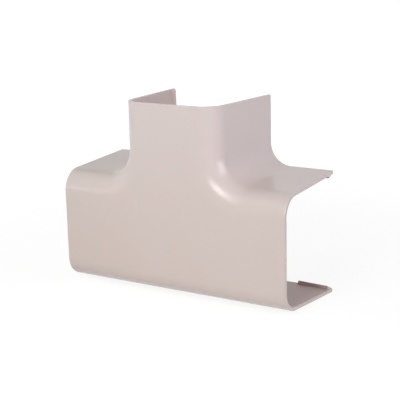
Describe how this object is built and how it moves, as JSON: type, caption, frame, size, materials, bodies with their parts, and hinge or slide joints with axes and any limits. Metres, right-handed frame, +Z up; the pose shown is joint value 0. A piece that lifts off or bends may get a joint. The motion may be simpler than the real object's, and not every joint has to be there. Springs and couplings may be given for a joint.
{
  "type": "trunking tee fitting",
  "caption": "T-shaped moulded cover that clips over a junction of wall-mounted cable or pipe trunking, open at the back and at every end.",
  "frame": {"origin": "in the plane of the wall, where the centre line of the run crosses the centre line of the branch", "axes": "+X along the run, +Y into the wall and out of the open back, +Z up along the branch; the flat front is at negative Y"},
  "size_m": [0.17, 0.067, 0.13],
  "materials": {
    "moulded_plastic": "satin, warm pale grey, through-coloured"
  },
  "bodies": {
    "root": {"tee_cover": "moulded_plastic"}
  },
  "joints": []
}
